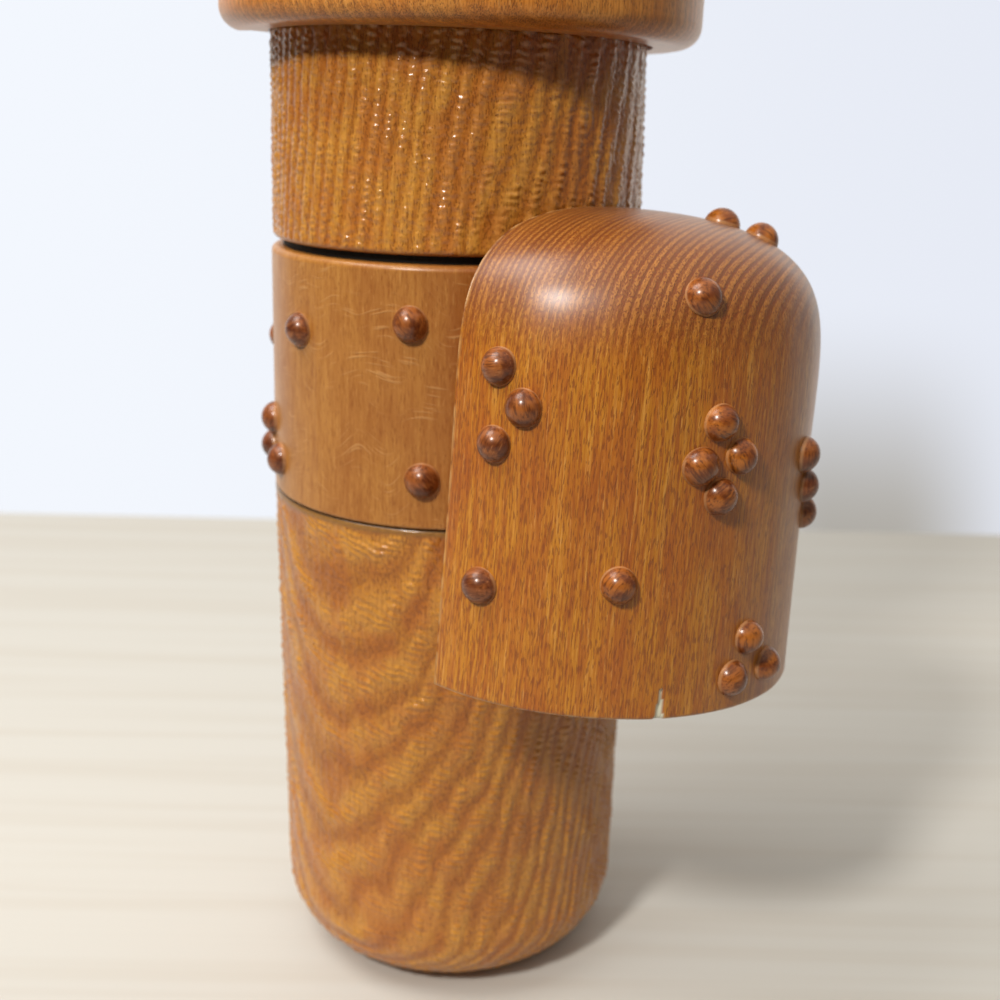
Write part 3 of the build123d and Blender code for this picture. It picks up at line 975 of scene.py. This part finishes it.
def build_camera():
    right, up, forward = camera_axes()
    data = bpy.data.cameras.new("camera")
    data.lens = lens
    data.sensor_width = 36
    data.clip_start = 5 * MM
    camera = bpy.data.objects.new("camera", data)
    turn = Matrix((right, up, -forward)).transposed().to_4x4()
    camera.matrix_world = Matrix.Translation(camera_point) @ turn
    bpy.context.scene.collection.objects.link(camera)
    bpy.context.scene.camera = camera
    focus = bpy.data.objects.new("focus", None)
    focus.location = camera_point + forward * focus_distance
    bpy.context.scene.collection.objects.link(focus)
    data.dof.use_dof = True
    data.dof.focus_object = focus
    data.dof.aperture_fstop = 26


# ---- Light and surroundings ----
def build_table(material):
    """A pale table top whose far edge lies behind the doll, square to the camera's heading."""
    behind, half_width, near, thickness = 235 * MM, 2.0, 1.2, 20 * MM
    away = bearing_vector(camera_heading)
    side = away.cross(Vector((0, 0, 1)))
    rounding = 2 * MM
    profile = [(-near, 0.0), (behind - rounding, 0.0)]
    for angle in np.linspace(0, math.pi / 2, 6)[1:]:
        depth = behind - rounding + rounding * math.sin(angle)
        profile.append((depth, -rounding + rounding * math.cos(angle)))
    profile += [(behind, -thickness), (-near, -thickness)]
    points, faces = [], []
    for end in (-1, 1):
        for depth, z in profile:
            points.append(away * depth + side * (end * half_width) + Vector((0, 0, z)))
    count = len(profile)
    for i in range(count):
        j = (i + 1) % count
        faces.append((i, j, count + j, count + i))
    faces.append(list(range(count))[::-1])
    faces.append(list(range(count, 2 * count)))
    local = Matrix((side, away, Vector((0, 0, 1)))).to_4x4()
    table = add_mesh("table", [local @ p for p in points], faces, material, None, None, flat_from=0)
    table.matrix_world = local.inverted()


def area_light(name, direction, distance, size, power, colour):
    """A round lamp at a distance from the middle of the doll, facing it."""
    middle = Vector((0, 10 * MM, 95 * MM))
    data = bpy.data.lights.new(name, "AREA")
    data.shape = "DISK"
    data.size = size
    data.energy = power
    data.color = colour
    lamp = bpy.data.objects.new(name, data)
    lamp.location = middle + direction.normalized() * distance
    lamp.rotation_euler = (-direction).to_track_quat("-Z", "Y").to_euler()
    bpy.context.scene.collection.objects.link(lamp)


def build_lights():
    """A small lamp over the camera's left shoulder, and a broad soft one above it."""
    right, up, forward = camera_axes()
    key = right * -0.38 + up * 0.43 - forward * 0.82
    area_light("key", key, distance=0.8, size=0.11, power=4.9, colour=(1.0, 0.97, 0.93))
    soft = right * -0.46 + up * 0.84 - forward * 0.32
    area_light("soft", soft, distance=1.2, size=0.7, power=8.0, colour=(1.0, 0.98, 0.96))


def build_world():
    """A pale room: bright above and beyond the doll, less so to the right, dim behind the camera."""
    world = bpy.data.worlds.new("studio")
    bpy.context.scene.world = world
    b = Nodes("studio", world)
    right, up, forward = camera_axes()
    away = Vector((forward.x, forward.y, 0)).normalized()
    incoming = b.node("ShaderNodeNewGeometry").outputs["Incoming"]
    toward = b.vector("MULTIPLY", incoming, (-1, -1, -1))
    height = b.vector("DOT_PRODUCT", toward, (0, 0, 1))
    beyond = b.vector("DOT_PRODUCT", toward, tuple(away))
    sideways = b.vector("DOT_PRODUCT", toward, tuple(right))
    wall = b.mix(b.ease(sideways, -0.35, 0.40), rgb(243, 247, 254), rgb(231, 235, 245))
    # The doll's own soft shadow, low on the wall to the right.
    off = b.math("ABSOLUTE", b.math("SUBTRACT", sideways, 0.265))
    shade = b.math("MULTIPLY", b.ease(off, 0.02, 0.125, 1.0, 0.0), b.ease(height, -0.31, -0.13, 1.0, 0.0))
    wall = b.mix(shade, wall, rgb(176, 172, 165))
    ceiling = b.math("MULTIPLY", b.ease(height, 0.25, 0.85), 0.75)
    backdrop = b.math("MULTIPLY", b.ease(beyond, 0.2, 0.8), 0.92)
    flank = b.math("MULTIPLY", b.ease(sideways, 0.2, 0.9), 0.22)
    level = b.math("ADD", b.math("MAXIMUM", b.math("MAXIMUM", ceiling, backdrop), flank), 0.045)
    # The lacquer mirrors the room as it is. As a light the room is weaker low down, as a deep one is.
    rays = b.node("ShaderNodeLightPath").outputs
    loss = b.math("MULTIPLY", rays["Is Diffuse Ray"], b.ease(height, 0.1, 0.9, 0.55, 0.0))
    level = b.math("MULTIPLY", level, b.math("SUBTRACT", 1.0, loss))
    room = b.mix(1.0, b.join(level, level, level), (1.0, 0.965, 0.91, 1), "MULTIPLY")
    colour = b.mix(rays["Is Camera Ray"], room, wall)
    background = b.node("ShaderNodeBackground", {"Color": colour})
    out = b.node("ShaderNodeOutputWorld")
    b.tree.links.new(background.outputs[0], out.inputs["Surface"])
    bpy.context.scene.view_settings.view_transform = "Standard"


# ---- Put it together ----
def dress_cad_nodes(materials):
    """Gives every CAD node the finished material of its slot."""
    for name, node in frame["nodes"].items():
        slot = node_slot[name]
        material = materials.get(name, materials[slot])
        for index in range(len(node.data.materials)):
            node.data.materials[index] = material


def main():
    materials = {
        "carved_wood": carved_wood(),
        "smooth_wood": band_wood(),
        "obi_knot": knot_wood(),
        "hair_cap": hair_wood(),
        "bead_wood": bead_wood(),
        "black_wood": black_wood(),
        "pale_wood": pale_wood(),
        "dowel_wood": dowel_wood(),
    }
    dress_cad_nodes(materials)
    build_carved_blocks(materials["carved_wood"])
    build_knot(materials["obi_knot"])
    build_all_beads(materials["bead_wood"])
    build_face(
        paint("black_paint", rgb(30, 24, 22), rgb(70, 52, 40)),
        paint("red_paint", rgb(176, 40, 30), rgb(196, 84, 62)),
    )
    build_table(pale_table())
    build_lights()
    build_world()
    build_camera()


main()
